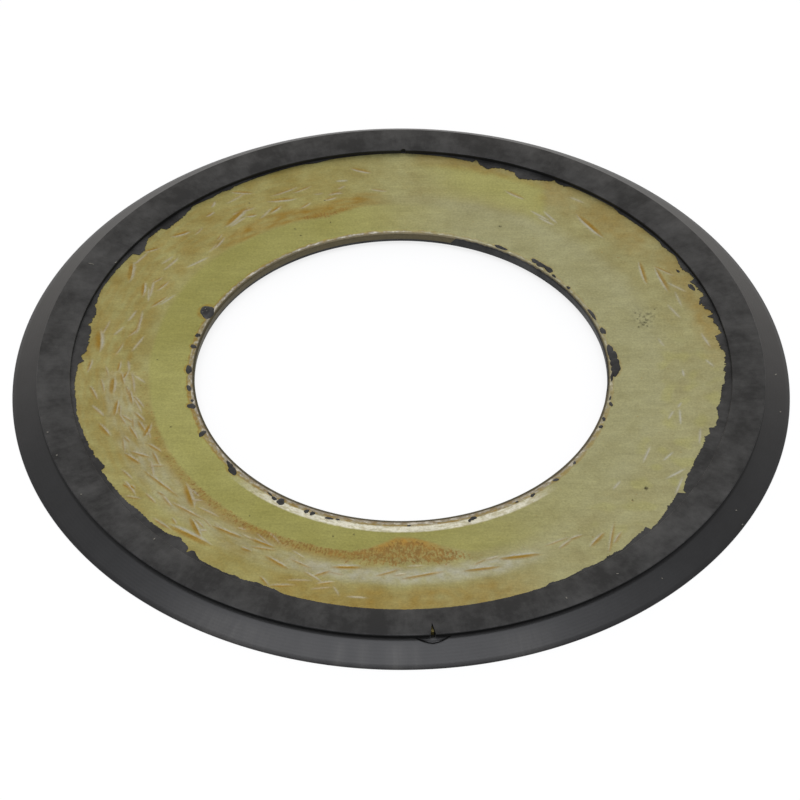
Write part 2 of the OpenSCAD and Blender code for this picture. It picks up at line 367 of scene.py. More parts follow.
def ring_section():
    """Section of the rubber, from its hole up the steel's seat, over the band and out to the lip."""
    seat = [(COAT_R, UNDER_Z), (COAT_R, PLATE_Z), (PLATE_R, PLATE_Z)]
    seat += [(PLATE_R, FACE_Z), (BAND_IN_R, FACE_Z)]
    inner = arc((BAND_IN_R + BAND_EDGE_R, TOP_Z - BAND_EDGE_R), BAND_EDGE_R, BAND_EDGE_R, 180, 90, 6)
    outer = arc((BAND_OUT_R - BAND_EDGE_R, TOP_Z - BAND_EDGE_R), BAND_EDGE_R, BAND_EDGE_R, 90, 0, 6)
    notch = arc((NOTCH_ROOT_R + NOTCH_R, NOTCH_Z), NOTCH_R, NOTCH_R, 120, FOOT_ANGLE, 6)
    lip = line(notch[-1], (LIP_R - LIP_TOP_ROUND, LIP_EDGE_T + LIP_TOP_ROUND / 2), 6)
    edge = [(LIP_R, LIP_EDGE_T - LIP_TOP_ROUND), (LIP_R, LIP_LOW_ROUND), (LIP_R - LIP_LOW_ROUND, 0.0)]
    land = [(LIP_R - LIP_LAND, 0.0), (BAND_OUT_R, UNDER_Z)]
    return seat + inner + outer + notch + lip + edge + land


def cutter(wedge, start, end, width, depth, lean):
    """A copy of the wedge, stretched between two points of the face; lean moves its deepest point."""
    copy = wedge.copy()
    copy.data = wedge.data.copy()
    bpy.context.collection.objects.link(copy)
    for vertex in copy.data.vertices:
        sunk = max(0.0, -vertex.co.z / MM)
        vertex.co.x += lean[0] * sunk * MM
        vertex.co.y += lean[1] * sunk * MM
    run = end - start
    turn = Matrix.Rotation(math.atan2(run.y, run.x), 4, "Z")
    size = Matrix.Diagonal((run.length / 2 / MM, width / 2, depth, 1))
    copy.data.transform(Matrix.Translation((start + end) / 2) @ turn @ size)
    return copy


def fine_scratches(rng):
    """Short light scratches between the gouges, listed like them."""
    found = []
    for low, high, count, stain in SCRATCH_SECTORS:
        for _ in range(count):
            angle = rng.uniform(low, high)
            radius = rng.uniform(*SCRATCH_R)
            length = rng.uniform(*SCRATCH_L)
            slant = rng.gauss(0, 0.4)
            swing = math.degrees(length * math.cos(slant) / radius)
            rise = length * math.sin(slant)
            width = rng.uniform(*SCRATCH_W)
            stained = stain * rng.uniform(0.4, 1.1)
            found.append((angle, radius, angle - swing, radius + rise, width, stained))
    return found


def apart(strokes):
    """Strokes sorted into groups, so that no two in a group touch."""
    groups = []
    for stroke in strokes:
        a1, r1, a2, r2, width, _ = stroke
        path = np.linspace(place(a1, r1, 0).xy, place(a2, r2, 0).xy, 16) / MM
        for group in groups:
            gaps = [
                np.hypot(*(path[:, None] - other).T).min() - STROKE_ROOM * (width + wide)
                for other, wide, _ in group
            ]
            if min(gaps) > 0:
                group.append((path, width, stroke))
                break
        else:
            groups.append([(path, width, stroke)])
    return [[stroke for _, _, stroke in group] for group in groups]


def gouged_plate(scratches):
    """The plate with its gouges, scratches and pits cut into the face."""
    rng = random.Random(SEED + 2)
    plate = spun("gouged_steel_plate", plate_section(), PLATE_STEPS)
    # Half section of a cutter, from its bottom to its rim and over it
    hollow = ((0.0, -1.0), (0.45, -0.72), (0.8, -0.3), (1.0, 0.0), (1.2, 0.3), (0.0, 0.3))
    wedge = spun("wedge", hollow, 12)
    for strokes in apart(list(GOUGES) + scratches):
        cutters = []
        for a1, r1, a2, r2, width, _ in strokes:
            lean = (rng.uniform(-0.4, 0.4), rng.uniform(-0.25, 0.25))
            ends = (place(a1, r1, FACE_Z), place(a2, r2, FACE_Z))
            cutters.append(cutter(wedge, *ends, width, GOUGE_DEPTH * width, lean))
        cut(plate, joined(cutters))
    cutters = []
    for angle, radius, half in PITS:
        middle = place(angle, radius, FACE_Z)
        side = Vector((half * MM, half * PIT_SLANT * MM, 0))
        ends = (middle - side, middle + side)
        cutters.append(cutter(wedge, *ends, PIT_WIDTH * half, PIT_DEPTH * half, (0, 0)))
    cut(plate, joined(cutters))
    bpy.data.objects.remove(wedge)
    plate.data.validate()
    return plate


def ruffle(points, size, layer):
    """Soft noise from -1 to 1 at points, with features of a size in mm; layer picks a pattern."""
    return np.array([noise.noise(Vector(point) / size + Vector((0, 0, 10.0 * layer))) for point in points])


def window(value, start, full, end, gone):
    """1 between full and end, fading to 0 at start and gone; the four rise."""
    return smooth(start, full, value) * (1 - smooth(end, gone, value))


def bump(value, middle, half):
    """Round bump of height 1 at the middle, down to about a third at half."""
    return np.exp(-((value - middle) / half) ** 2)


def stroke_marks(spots, strokes):
    """Orange stain in each stroke and on its outer side, and a pale worn line along its inner side."""
    orange = np.zeros(len(spots))
    pale = np.zeros(len(spots))
    for a1, r1, a2, r2, width, stain in strokes:
        start = np.array(place(a1, r1, 0).xy) / MM
        run = np.array(place(a2, r2, 0).xy) / MM - start
        length = np.hypot(*run)
        along = run / length
        out = np.array((along[1], -along[0]))
        if out @ start < 0:
            out = -out
        near = np.flatnonzero(((spots - start - run / 2) ** 2).sum(1) < (length / 2 + 1.5) ** 2)
        way = (spots[near] - start) @ along / length
        full = np.sqrt(window(way, -0.1, 0.35, 0.65, 1.1))
        side = (spots[near] - start) @ out / width / (0.35 + 0.65 * full)
        stained = stain * full * window(side, -0.6, -0.3, 0.0, 1.15)
        worn = smooth(0.05, 0.52, width) * full * bump(side, -0.75 * stain, max(0.34, 0.17 / width))
        orange[near] = np.maximum(orange[near], stained)
        pale[near] = np.maximum(pale[near], worn)
    return orange, pale


def bleed_rims(angle, radius):
    """Brown rim round each spot of rubber at the bore's edge."""
    rims = np.zeros(len(angle))
    for middle, middle_r, long, wide, _ in BLEEDS:
        across = np.radians((angle - middle + 180) % 360 - 180) * middle_r
        reach = np.hypot(across / (long + 0.1), (radius - middle_r) / (wide + 0.1))
        rims = np.maximum(rims, window(reach, 0.7, 0.95, 1.05, 1.4))
    return rims


def points_of(piece):
    """Points of a piece in millimetres, with their radius and their angle in degrees."""
    points = np.empty(len(piece.data.vertices) * 3)
    piece.data.vertices.foreach_get("co", points)
    points = points.reshape(-1, 3) / MM
    radius = np.hypot(points[:, 0], points[:, 1])
    return points, radius, np.degrees(np.arctan2(points[:, 1], points[:, 0]))


def paint(piece, layers):
    """Keep layers of numbers from 0 to 1 on the points of a piece, by their names."""
    for name, values in layers.items():
        layer = piece.data.attributes.new(name, "FLOAT", "POINT")
        layer.data.foreach_set("value", np.clip(values, 0, 1).astype(np.float32))


def paint_finish(plate, strokes):
    """Paint where the passivation is green, pale, stained or worn, and the painted shade and highlight at
    the bore, one layer of numbers for each.
    """
    points, radius, angle = points_of(plate)
    spots = points[:, :2]
    coarse = ruffle(points, 4.0, 1)
    medium = ruffle(points, 1.2, 2)
    fine = ruffle(points, 0.5, 3)
    drift = 0.35 * coarse + 0.15 * medium
    around = np.column_stack([spots / radius[:, None] * 42.0, 3.5 * radius])
    brushed = ruffle(around, 2.6, 4) + 0.5 * ruffle(around, 1.3, 5)

    # Ring of green film: a crisp edge on the left, a dome of stain cut out of it, a faint edge on the right
    edge_angles = (-180, -150, -123, -101, -97, -94, -91, -87, -83, -79, -75, -66, -40, 60, 100,
                   108, 118, 137, 180)
    edge_radii = (36.5, 36.9, 37.4, 37.1, 36.0, 34.8, 33.7, 33.8, 34.8, 36.1, 37.5, 38.6, 37.5, 37.0, 36.3,
                  35.3, 36.2, 37.0, 36.5)
    edge = np.interp(angle, edge_angles, edge_radii) + 0.5 * drift + 0.08 * fine
    crisp = np.interp(angle, (-180, -100, -75, -50, 60, 95, 140, 180),
                      (0.35, 0.3, 0.5, 2.5, 2.5, 0.9, 0.5, 0.35))
    depth = np.interp(angle, (-180, -95, -72, -55, -30, 75, 90, 103, 180),
                      (1.0, 1.0, 0.7, 0.3, 0.15, 0.15, 0.4, 0.95, 1.0))
    green = depth * (1 - smooth(-1, 1, (radius - edge) / crisp))
    slanted = angle + 0.8 * (45.5 - radius) + 0.6 * medium
    patch = window(slanted, 60.6, 63.0, 76, 92) * window(radius + drift, 37.0, 42.0, 45.2, 46.6)
    green = np.maximum(green, 0.9 * patch)
    right_side = window(angle, -60, -35, 2, 14) * window(radius, 36, 38.5, 46, 47.5)
    green = np.maximum(green, 0.42 * right_side * smooth(0.0, 0.45, ruffle(points, 2.2, 6)))

    # Brown grains: the dome on the near side with its drips, the line on the left and the far smear
    foot = 39.0 + 0.9 * medium + 0.5 * fine
    dome = window(radius - edge, -0.1, 1.0, 9, 10) * (1 - smooth(-0.9, 0.7, radius - foot))
    dome = dome * window(angle, -107, -97, -79, -68) * 0.52
    trail = np.interp(angle, (-180, -155, -140, -120, -104, -97), (0.12, 0.26, 0.34, 0.42, 0.5, 0.52))
    trail = trail * (angle < -96) * window(radius - edge, -0.4, 0.15, 0.9, 2.0)
    smear = window(angle, 98, 103, 111, 119) * window(radius - edge, -0.3, 0.2, 0.7, 1.6) * 0.4
    grains = np.maximum.reduce([dome, trail, smear])

    # Orange wash: near rim, dome, left trail, far smear, far rim and edge, left, right, strokes, spot rims
    orange, pale_strokes = stroke_marks(spots, strokes)
    cloud = np.clip(0.85 + 0.5 * medium + 0.5 * coarse, 0, 1.6)
    rim = window(angle, -124, -106, -76, -60) * smooth(42.3, 44.6, radius + drift) * 0.52 * cloud
    top = window(angle, -101, -95, -83, -77) * window(radius - edge, -0.3, 0.3, 3.0, 5.0) * 0.4
    amber = window(angle, -98, -94, -85, -80) * window(radius - edge, -0.25, 0.2, 0.8, 2.0)
    amber = amber * np.clip(0.65 + 0.5 * medium + 0.5 * fine, 0, 1)
    line_wash = np.interp(angle, (-180, -155, -120, -104, -97), (0.1, 0.3, 0.48, 0.52, 0.5)) * (angle < -96)
    line_wash = line_wash * window(radius - edge, -0.3, 0.5, 1.3, 2.8)
    far = window(angle, 92, 101, 124, 145) * window(radius - edge, -0.3, 0.5, 1.8, 4.0)
    far = far * np.clip(0.6 + 0.55 * brushed, 0, 1)
    far_rim = window(angle, 30, 38, 59, 63) * smooth(41.0, 44.0, radius + drift) * 0.36 * cloud
    left = np.interp(angle, (-180, -150, -110, -100, 95, 120, 180), (0.4, 0.18, 0.16, 0, 0, 0.3, 0.4))
    left = left * (np.abs(angle) > 95) * smooth(37.2, 39.2, radius) * np.clip(0.55 + 0.9 * brushed, 0, 1.5)
    right = window(angle, -2, 8, 30, 40) * smooth(43.2, 46.0, radius + drift) * 0.42 * cloud
    far_edge = window(angle, 56, 61, 80, 92) * smooth(44.4, 46.0, radius + drift) * 0.42 * cloud
    wash = np.maximum.reduce([rim, top, line_wash, far, far_rim, far_edge, left, right])
    wash = np.maximum(wash, orange * (0.95 + 0.35 * fine))
    far_fade = np.interp(angle, (-180, -65, -45, 0, 80, 140, 180), (0.8, 0.8, 0.45, 0.35, 0.35, 0.8, 0.8))
    wash = np.maximum(wash, far_fade * bleed_rims(angle, radius) * np.clip(0.8 + fine, 0, 1))

    # Worn metal: the near whitish zone, a thin haze on the left, the inner side of each stroke
    near = window(angle, -124, -104, -72, -57) * window(radius + drift, 38.9, 40.5, 41.6, 43.4) * 0.52
    near = near * np.clip(0.95 + 0.7 * medium + 0.4 * fine, 0, 1.35)
    haze = np.interp(angle, (-180, -150, -125, -112), (0.28, 0.3, 0.24, 0.2)) * (angle < -100)
    haze = haze * window(radius + drift, 37.8, 39.2, 42.0, 44.5) * np.clip(0.8 - 0.7 * brushed, 0, 1.4)
    worn = np.maximum.reduce([near, haze, 0.95 * pale_strokes])

    # Bore edge: bare zinc inside a line that lies wider on the near side, and on the near side a band of
    # the die roll rubbed bare and painted white as its highlight
    line_angles = (-180, -165, -140, -90, -60, -45, -20, 0, 45, 90, 135, 150, 165, 180)
    line_radii = (31.0, 31.2, 31.4, 31.55, 31.5, 31.3, 30.95, 30.75, 30.6, 30.56, 30.6, 30.7, 30.85, 31.0)
    line_r = np.interp(angle, line_angles, line_radii) + 0.14 * medium + 0.1 * fine
    gold = window(radius - line_r, -0.55, -0.4, 0.0, 0.15) * smooth(30.7, 31.0, line_r)
    gold = gold * np.clip(0.7 + 1.1 * medium + 0.9 * fine, 0, 1)
    bare = (1 - smooth(-0.1, 0.1, radius - line_r)) * (1 - 0.85 * gold)
    bare = bare * np.interp(angle, (-180, -30, 0, 75, 95, 180), (1.0, 1.0, 0.5, 0.5, 1.0, 1.0))
    # Near side only: the die roll's band, partly zinc rubbed bare and partly a painted highlight
    rubbed_highlight = window(angle, -142, -120, -60, -45) * window(radius + 0.05 * fine, 31.35, 31.55, 32.45, 32.68)
    # Painted shade: the bore wall darker, the dark band reaching further onto the die roll on the near side
    dark_r = np.interp(angle, (-180, -150, -130, -50, -25, 0, 90, 150, 180),
                       (30.36, 30.45, 30.6, 30.6, 30.45, 30.32, 30.34, 30.34, 30.36))
    dark = 1 - smooth(-0.1, 0.06, radius - dark_r)
    brown_line = bump(radius, line_r + 0.06, 0.11) * np.clip(0.75 + 0.8 * medium, 0.2, 1)
    wash = np.maximum(wash, 1.15 * far_fade * np.maximum(brown_line, gold) * (1 - 0.7 * rubbed_highlight))
    wash = np.maximum(wash, 0.7 * rubbed_highlight * np.clip(0.4 + 1.4 * fine, 0, 1))

    # Painted shade on the near and left bore wall, and dirt in the pits and in the smudge round some of
    # them
    near_wall_shade = np.interp(angle, (-180, -50, 0, 130, 180), (0.8, 0.8, 0, 0, 0.8))
    dirt_and_wall_shade = near_wall_shade * (1 - smooth(-0.14, 0.02, radius - dark_r))
    for pit_angle, pit_radius, half in PITS:
        pit = np.array(place(pit_angle, pit_radius, 0).xy) / MM
        dark_pit = 0.95 if half > 0.25 else 0.7
        away = np.hypot(*(spots - pit).T)
        dirt_and_wall_shade = np.maximum(dirt_and_wall_shade, dark_pit * (1 - smooth(0.5 * half, 1.35 * half, away)))
    smudge = np.array(place(SMUDGE[0], SMUDGE[1], 0).xy) / MM
    smudge = bump(np.hypot(*(spots - smudge).T), 0, SMUDGE[2])
    dirt_and_wall_shade = np.maximum(dirt_and_wall_shade, 0.75 * smudge * smooth(0.0, 0.4, fine))

    # Paler khaki on the right, within the green ring's radius and outside it, and the green's lighter shade
    pale_in = np.interp(angle, (-180, -120, -78, -60, -35, 75, 90, 103, 180),
                        (0.1, 0.0, 0.3, 0.7, 1.0, 1.0, 0.6, 0.0, 0.1))
    pale_out = np.interp(angle, (-180, -120, -78, -60, -35, -5, 12, 45, 62, 90, 105, 180),
                         (0.1, 0.0, 0.3, 0.65, 0.75, 0.75, 0.6, 0.45, 0.45, 0.35, 0.0, 0.1))
    outer = smooth(36.5, 40.0, radius + drift)
    pale = pale_in * (1 - outer) + pale_out * outer
    light = np.interp(angle, (-180, -150, -128, -95, 60, 90, 110, 165, 180),
                      (0.6, 0.55, 0.15, 0.1, 0.8, 0.95, 0.25, 0.1, 0.5))
    light = light + 0.35 * coarse + 0.6 * right_side
    paint(plate, {
        "green_film": green, "pale_film": pale, "orange_wash": wash, "brown_grains": grains,
        "worn_zinc": worn, "bare_edge": bare, "rubbed_edge_highlight": rubbed_highlight, "bore_wall_shade": dark, "pit_dirt_and_wall_shade": dirt_and_wall_shade,
        "amber_wash": amber, "light_film": light,
    })


def bore_profile():
    """Ways along the steel at the bore, 0 where the die roll starts, and the radius and height there."""
    wall = [(BORE_R, PLATE_Z)]
    roll = arc((ROLL_START, FACE_Z - ROLL_H), ROLL_W, ROLL_H, 180, 90, 60)
    flat = [(BAND_IN_R, FACE_Z)]
    points = np.array(wall + roll + flat)
    way = np.concatenate([[0], np.cumsum(np.hypot(*np.diff(points, axis=0).T))])
    return way - way[-2], points


def on_bore_edge(profile, angle, way, lift):
    """A point at an angle and a way along the profile, lifted off the steel."""
    ways, points = profile
    spot, ahead, behind = (
        np.array([np.interp(way + step, ways, points[:, k]) for k in (0, 1)])
        for step in (0.0, 0.05, -0.05)
    )
    tangent = ahead - behind
    tangent = tangent / np.hypot(*tangent)
    spot = spot + lift * np.array([-tangent[1], tangent[0]])
    return place(angle, spot[0], spot[1])


def bleed_spots():
    """Flattened spots of rubber on the steel, over the bore's edge and beside the flash."""
    rng = random.Random(SEED + 1)
    profile = bore_profile()
    ways, points = profile
    pieces = []
    for angle, radius, long, wide, turn in BLEEDS + FLASH_ISLANDS:
        bpy.ops.object.select_all(action="DESELECT")
        bpy.ops.mesh.primitive_uv_sphere_add(segments=28, ring_count=10, radius=1)
        spot = bpy.context.object
        middle = np.interp(radius, points[1:, 0], ways[1:])
        phases = [rng.uniform(0, 6.28) for _ in range(3)]
        tilt = math.radians(turn)
        height = SPOT_H + SPOT_SWELL * min(long, wide)
        for vertex in spot.data.vertices:
            x, y, z = vertex.co
            swing = math.atan2(y, x)
            lobes = 1 + 0.1 * math.sin(2 * swing + phases[0]) + 0.08 * math.sin(3 * swing + phases[1])
            lobes += 0.05 * math.sin(5 * swing + phases[2])
            across = (x * long * math.cos(tilt) - y * wide * math.sin(tilt)) * lobes
            out = (x * long * math.sin(tilt) + y * wide * math.cos(tilt)) * lobes
            swung = angle + math.degrees(across / radius)
            vertex.co = on_bore_edge(profile, swung, middle + out, z * height)
        pieces.append(spot)
    return pieces


def jagged(angle, waves):
    """Soft noise at an angle, summed from waves of strength, count in a degree and row of the pattern."""
    return sum(size * noise.noise(Vector((angle * rate, row, 0))) for size, rate, row in waves)


def thickened(film, thickness, offset):
    """Give a film its thickness in millimetres: outwards at offset 1, inwards at -1, both ways at 0."""
    skin = film.modifiers.new("thickness", "SOLIDIFY")
    skin.thickness = thickness * MM
    skin.offset = offset
    bpy.context.view_layer.objects.active = film
    bpy.ops.object.modifier_apply(modifier=skin.name)
    return film


def wall_film():
    """Thin film of rubber that ran up the bore wall on the far right."""
    profile = bore_profile()
    ways, points = profile
    bpy.ops.object.select_all(action="DESELECT")
    bpy.ops.mesh.primitive_grid_add(x_subdivisions=360, y_subdivisions=10, size=2)
    film = bpy.context.object
    top = np.interp(WALL_FILM_R, points[1:, 0], ways[1:])
    for vertex in film.data.vertices:
        across = (vertex.co.x + 1) / 2
        angle = WALL_FILM[0] + (WALL_FILM[1] - WALL_FILM[0]) * across
        ragged = jagged(angle, WALL_RAGS)
        fade = min(1.0, (1 - across) * 60, across * 12)
        way = ways[0] + (top + ragged - ways[0]) * fade * (vertex.co.y + 1) / 2
        vertex.co = on_bore_edge(profile, angle, way, 0.0)
    return thickened(film, WALL_FILM_T, 0)


def flash_film():
    """Thin torn film of rubber on the steel along the band's inner edge."""
    bpy.ops.object.select_all(action="DESELECT")
    outer = (BAND_IN_R + OVERSHOOT) * MM
    bpy.ops.mesh.primitive_circle_add(vertices=FLASH_STEPS, radius=outer, location=(0, 0, FACE_Z * MM))
    film = bpy.context.object
    bpy.ops.object.transform_apply(location=True, rotation=False, scale=False)
    bpy.ops.object.mode_set(mode="EDIT")
    bpy.ops.mesh.select_all(action="SELECT")
    bpy.ops.mesh.extrude_edges_move()
    bpy.ops.transform.resize(value=(0.9, 0.9, 1), center_override=(0, 0, FACE_Z * MM))
    bpy.ops.object.mode_set(mode="OBJECT")

    # The points of the inner ring, so far only drawn in, are set along the torn edge
    angles = [pair[0] for pair in FLASH_EDGE]
    reaches = [pair[1] for pair in FLASH_EDGE]
    for vertex in film.data.vertices:
        if vertex.co.xy.length > 0.95 * outer:
            continue
        angle = math.degrees(math.atan2(vertex.co.y, vertex.co.x))
        reach = np.interp(angle, angles, reaches)
        teeth = jagged(angle, FLASH_TEETH)
        teeth *= 1 + 1.1 * window(angle, -3, 3, 24, 28) - 0.55 * window(angle, -140, -125, -60, -48)
        reach += teeth * smooth(0.1, 0.9, reach)
        vertex.co = place(angle, BAND_IN_R - reach, FACE_Z)
    return thickened(film, FILM_T, 1)


def lip_foot():
    """Radius and height where the upper face of the lip starts, and the slope of that face."""
    foot = arc((NOTCH_ROOT_R + NOTCH_R, NOTCH_Z), NOTCH_R, NOTCH_R, 120, FOOT_ANGLE, 6)[-1]
    return foot, math.atan2(foot[1] - LIP_EDGE_T, LIP_R - foot[0])


def tear_flap():
    """Leaf of rubber that stands up from the lip below the tear."""
    bpy.ops.object.select_all(action="DESELECT")
    bpy.ops.mesh.primitive_grid_add(x_subdivisions=32, y_subdivisions=8, size=2)
    flap = bpy.context.object
    foot, slope = lip_foot()
    for vertex in flap.data.vertices:
        s = vertex.co.x
        t = (vertex.co.y + 1) / 2
        reach = FLAP_START + t * FLAP_W * (1 - abs(s) ** FLAP_BOW)
        lift = FLAP_LIFT + FLAP_CURL * t * (1 - s * s)
        radius = foot[0] + reach * math.cos(slope) + lift * math.sin(slope)
        height = foot[1] - reach * math.sin(slope) + lift * math.cos(slope)
        vertex.co = place(TEAR_ANGLE + math.degrees(s * FLAP_HALF_L / radius), radius, height)
    return thickened(flap, FLAP_T, -1)


def lint():
    """Specks and slivers of lint that lie on the rubber."""
    foot, slope = lip_foot()
    pieces = []
    for angle, radius, long, wide, turn in LINT:
        height = TOP_Z
        if radius > BAND_OUT_R:
            height = foot[1] - (radius - foot[0]) * math.tan(slope)
        if radius < BAND_IN_R:
            height = FACE_Z + SPOT_TOP
        bpy.ops.object.select_all(action="DESELECT")
        bpy.ops.mesh.primitive_uv_sphere_add(segments=8, ring_count=6, radius=1)
        speck = bpy.context.object
        size = Matrix.Diagonal((long * MM, wide * MM, LINT_T * MM, 1))
        spin = Matrix.Rotation(math.radians(angle + turn), 4, "Z")
        speck.data.transform(Matrix.Translation(place(angle, radius, height + LINT_LIFT)) @ spin @ size)
        pieces.append(speck)
    return pieces


def paint_dust_sheen_and_shade(ring):
    """Paint the dust and painted sheen on the lip, the bloom on the band and the painted shade on the
    flap's outer edge, a layer for each.
    """
    points, radius, angle = points_of(ring)
    # Dust and painted sheen across the lip
    lip_dust_and_sheen = np.zeros(len(points))
    for middle, half, strength in DUST_AND_SHEEN_STREAKS:
        lip_dust_and_sheen = np.maximum(lip_dust_and_sheen, strength * bump(angle, middle, half))
    lip_dust_and_sheen = lip_dust_and_sheen * smooth(*DUST_AND_SHEEN_R, radius)
    bloom = np.full(len(points), BLOOM_BAND)
    for middle, half, strength in BLOOM:
        bloom = np.maximum(bloom, strength * bump((angle - middle + 180) % 360 - 180, 0, half))
    bloom = np.where(radius > BAND_OUT_R, BLOOM_LIP, bloom)

    # Painted shade along the outer edge of the flap: off the lip, and as far from the notch's foot as the
    # flap reaches there
    foot, slope = lip_foot()
    above = points[:, 2] - foot[1] + (radius - foot[0]) * math.tan(slope)
    side = np.abs(np.radians(angle - TEAR_ANGLE) * radius / FLAP_HALF_L)
    reach = np.hypot(radius - foot[0], points[:, 2] - foot[1])
    edge = FLAP_START + FLAP_W * (1 - np.clip(side, 0, 1) ** FLAP_BOW)
    torn = (side < 1.02) * (above > 0.03) * (above < 0.34) * smooth(0.72, 0.9, reach / edge)
    paint(ring, {"dust_and_sheen": lip_dust_and_sheen, "bloom": bloom, "torn": torn})


def moulded_ring(rubber, dust):
    """The rubber ring with its tear, nick, flash and flap, the spots that bled and the lint on it."""
    ring = spun("moulded_rubber_ring", ring_section(), RING_STEPS)
    bpy.ops.object.select_all(action="DESELECT")
    bpy.ops.mesh.primitive_cylinder_add(vertices=3, radius=1, depth=1)
    wedge = bpy.context.object
    spread = TEAR_W / 2 * (TEAR_L + OVERSHOOT) / TEAR_L
    reach = BAND_OUT_R + OVERSHOOT
    corners = ((BAND_OUT_R - TEAR_L, 0.0), (reach, -spread), (reach, spread))
    turn = Matrix.Rotation(math.radians(TEAR_ANGLE), 4, "Z")
    swings = sorted({round(math.atan2(v.co.y, v.co.x), 2) for v in wedge.data.vertices})
    for vertex in wedge.data.vertices:
        corner = corners[swings.index(round(math.atan2(vertex.co.y, vertex.co.x), 2))]
        height = TOP_Z + OVERSHOOT if vertex.co.z > 0 else TOP_Z - TEAR_H
        vertex.co = turn @ Vector((corner[0] * MM, corner[1] * MM, height * MM))
    bpy.ops.object.mode_set(mode="EDIT")
    bpy.ops.mesh.select_all(action="SELECT")
    bpy.ops.mesh.normals_make_consistent(inside=False)
    bpy.ops.object.mode_set(mode="OBJECT")
    cut(ring, wedge)
    bpy.ops.object.select_all(action="DESELECT")
    spot = place(NICK_ANGLE, BAND_IN_R, FACE_Z + NICK_H / 2)
    bpy.ops.mesh.primitive_cylinder_add(vertices=20, radius=NICK_R * MM, depth=NICK_H * MM, location=spot)
    punch = bpy.context.object
    bpy.ops.object.transform_apply(location=True, rotation=False, scale=False)
    cut(ring, punch)
    black = [ring, flash_film(), tear_flap(), wall_film()] + bleed_spots()
    specks = lint()
    for pieces, material in ((black, rubber), (specks, dust)):
        for piece in pieces:
            piece.data.materials.clear()
            piece.data.materials.append(material)
    ring = joined(black + specks)
    paint_dust_sheen_and_shade(ring)
    return ring


def tone(code):
    """Linear colour of an sRGB hex value."""
    parts = [int(code[i:i + 2], 16) / 255 for i in (1, 3, 5)]
    return [p / 12.92 if p <= 0.04045 else ((p + 0.055) / 1.055) ** 2.4 for p in parts] + [1.0]


def add(tree, kind, values=None, **settings):
    """Add a shader node: settings are its own, values go to its sockets as numbers or as links."""
    made = tree.nodes.new("ShaderNode" + kind)
    for key, value in settings.items():
        setattr(made, key, value)
    for socket, value in (values or {}).items():
        if isinstance(value, bpy.types.NodeSocket):
            tree.links.new(value, made.inputs[socket])
        else:
            made.inputs[socket].default_value = value
    return made


def blank(name):
    """A new material with its tree, its shader and its Object coordinates."""
    material = bpy.data.materials.new(name)
    material.use_nodes = True
    tree = material.node_tree
    shader = tree.nodes["Principled BSDF"]
    where = tree.nodes.new("ShaderNodeTexCoord").outputs["Object"]
    return material, tree, shader, where


def grain(size):
    """Scale of a pattern whose features have a size in millimetres."""
    return 1 / (size * MM)


def polar(tree, where, middle, draw):
    """Coordinates that follow the ring, drawn out along its radius, and the radius itself."""
    flat = add(tree, "VectorMath", {0: where, 1: (1, 1, 0)}, operation="MULTIPLY")
    radius = add(tree, "VectorMath", {0: flat.outputs[0]}, operation="LENGTH").outputs["Value"]
    way = add(tree, "VectorMath", {0: flat.outputs[0]}, operation="NORMALIZE")
    way = add(tree, "VectorMath", {0: way.outputs[0], "Scale": middle * MM}, operation="SCALE")
    slow = add(tree, "Math", {0: radius, 1: 1 / draw}, operation="MULTIPLY")
    slow = add(tree, "CombineXYZ", {2: slow.outputs[0]})
    way = add(tree, "VectorMath", {0: way.outputs[0], 1: slow.outputs[0]}, operation="ADD")
    return way.outputs[0], radius


